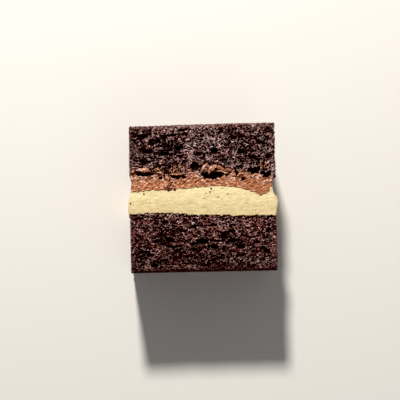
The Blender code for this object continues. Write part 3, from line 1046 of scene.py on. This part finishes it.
def build_slice():
    """The four layers, each lapping its neighbours by a hair so that no gap shows, and the scraps
    and crumbs that lie on them."""
    foot = (FOOT_LINE, SEEDS["foot seam"], 0.8 * MM, 1.2 * MM)
    crest = (CREST_LINE, SEEDS["crest seam"], 0.16 * MM, 2.2 * MM)
    cocoa = (COCOA_LINE, SEEDS["cocoa seam"], 1.5 * MM, 1.5 * MM)
    plain_relief = crumb_relief(BOTTOM_PORES, [], SEEDS["lower sponge"])
    torn_relief = crumb_relief(TOP_PORES, TEARS, SEEDS["upper sponge"])
    bottom = cake_layer(
        foot_face, seam(*foot, LAP), 28 * MM, (True, False), NO_SWELL, no_smear(plain_relief)
    )
    pale = cake_layer(
        seam(*foot, -LAP), seam(*crest, LAP), 12.5 * MM, (False, False), PALE_SWELL, pale_relief
    )
    brown = cake_layer(
        seam(*crest, -LAP), seam(*cocoa, LAP), 5.5 * MM, (False, False), COCOA_SWELL, cocoa_relief
    )
    top = cake_layer(
        seam(*cocoa, -LAP), head_face, 25 * MM, (False, True), NO_SWELL,
        with_smear(torn_relief, SEEDS["smears"]),
    )
    below = sponge_finish(
        "lower sponge",
        ((0.091, 0.025, 0.021), (0.140, 0.0235, 0.0175)),
        ((0.41, 0.205, 0.180), (0.43, 0.135, 0.110)),
        0.45,
    )
    above = sponge_finish(
        "upper sponge",
        ((0.134, 0.051, 0.044), (0.192, 0.048, 0.038)),
        ((0.55, 0.405, 0.39), (0.57, 0.30, 0.275)),
        1.0,
    )
    yellow, tan = pale_finish(), cocoa_finish()
    made = [
        piece_from("sponge_below", *bottom, "bottom_sponge", below, MOST_TRIANGLES),
        piece_from("cream_pale", *pale, "pale_cream", yellow, MOST_TRIANGLES),
        piece_from("cream_cocoa", *brown, "cocoa_cream", tan, MOST_TRIANGLES),
        piece_from("sponge_above", *top, "top_sponge", above, MOST_TRIANGLES),
    ]
    build_cocoa_scraps(tan, torn_relief)
    build_pale_scraps(yellow)
    build_loose_crumbs(above, torn_relief)
    build_stuck_crumbs(crumb_finish())
    for piece, node in zip(made, ("bottom_sponge", "pale_cream", "cocoa_cream", "top_sponge")):
        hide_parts(node)


# Floor, light and camera

CUT_CENTRE = Vector((0, 0, THICKNESS))
FLOOR_HALF = 1.5
FLOOR_HEIGHT = -0.2 * MM
PICTURE_WIDTH = 400


def build_floor():
    """A plain pale floor: a flat grid of squares, a hair below the slice."""
    side = np.linspace(-FLOOR_HALF, FLOOR_HALF, 9)
    x, y = np.meshgrid(side, side, indexing="ij")
    points = np.stack([x.ravel(), y.ravel(), np.full(x.size, FLOOR_HEIGHT)], 1)
    number = np.arange(x.size).reshape(x.shape)
    mesh = bpy.data.meshes.new("floor")
    mesh.from_pydata(points, [], grid_squares(number).reshape(-1, 4))
    floor = placed("floor", mesh)
    finish = Finish("floor", Base_Color=(0.80, 0.79, 0.77), Roughness=0.8)
    floor.data.materials.append(finish.material)


def aimed(position, target, up):
    """Where an object stands and how it is turned, so that its -Z looks from position to target."""
    ahead = (target - position).normalized()
    right = ahead.cross(up).normalized()
    axes = Matrix((right, right.cross(ahead), -ahead)).transposed()
    return Matrix.Translation(position) @ axes.to_4x4()


def add_light(name, azimuth, elevation, distance, size, power, colour):
    """A soft lamp seen from the slice at that azimuth from +Y, turning to +X, and elevation."""
    turn, rise = math.radians(azimuth), math.radians(elevation)
    flat = math.cos(rise)
    away = Vector((math.sin(turn) * flat, math.cos(turn) * flat, math.sin(rise)))
    lamp = bpy.data.lights.new(name, "AREA")
    lamp.shape = "DISK"
    lamp.size = size
    lamp.energy = power
    lamp.color = colour
    light = placed(name, lamp)
    light.matrix_world = aimed(CUT_CENTRE + away * distance, CUT_CENTRE, Vector((0.02, 0.01, 1)))


def build_lights():
    """A small warm key lamp beyond the slice's head, a wide weak fill lamp and a dim room."""
    add_light("key", -9, 42, 1.1, 0.12, 17, (1.0, 0.95, 0.88))
    add_light("fill", 150, 50, 1.3, 0.9, 1.2, (1.0, 0.96, 0.92))
    world = bpy.data.worlds.new("room")
    world.use_nodes = True
    background = world.node_tree.nodes["Background"]
    background.inputs["Color"].default_value = (1.0, 0.98, 0.96, 1)
    background.inputs["Strength"].default_value = 0.16
    bpy.context.scene.world = world


def build_camera():
    """A camera almost straight above the cut, turned as the photograph is and shifted by a few
    pixels so that the slice stands in the picture where the photograph has it."""
    pixels_per_metre = 2120
    left, down = 3.4 / pixels_per_metre, 2.4 / pixels_per_metre
    distance = 0.55
    tilt, turn, roll = math.radians(4), math.radians(215), math.radians(1.15)
    up = Vector((math.sin(roll), math.cos(roll), 0))
    right = Vector((math.cos(roll), -math.sin(roll), 0))
    target = CUT_CENTRE - right * left - up * down
    lean = math.sin(tilt)
    away = Vector((lean * math.sin(turn), lean * math.cos(turn), math.cos(tilt)))
    data = bpy.data.cameras.new("camera")
    data.sensor_width = 36
    data.lens = data.sensor_width * pixels_per_metre * distance / PICTURE_WIDTH
    data.clip_start = 0.01
    camera = placed("camera", data)
    camera.matrix_world = aimed(target + away * distance, target, up)
    bpy.context.scene.camera = camera


def main():
    build_slice()
    build_floor()
    build_lights()
    build_camera()
    view = bpy.context.scene.view_settings
    view.view_transform = "Standard"
    view.use_curve_mapping = True
    view.curve_mapping.black_level = (0.002, 0.006, 0.006)


main()
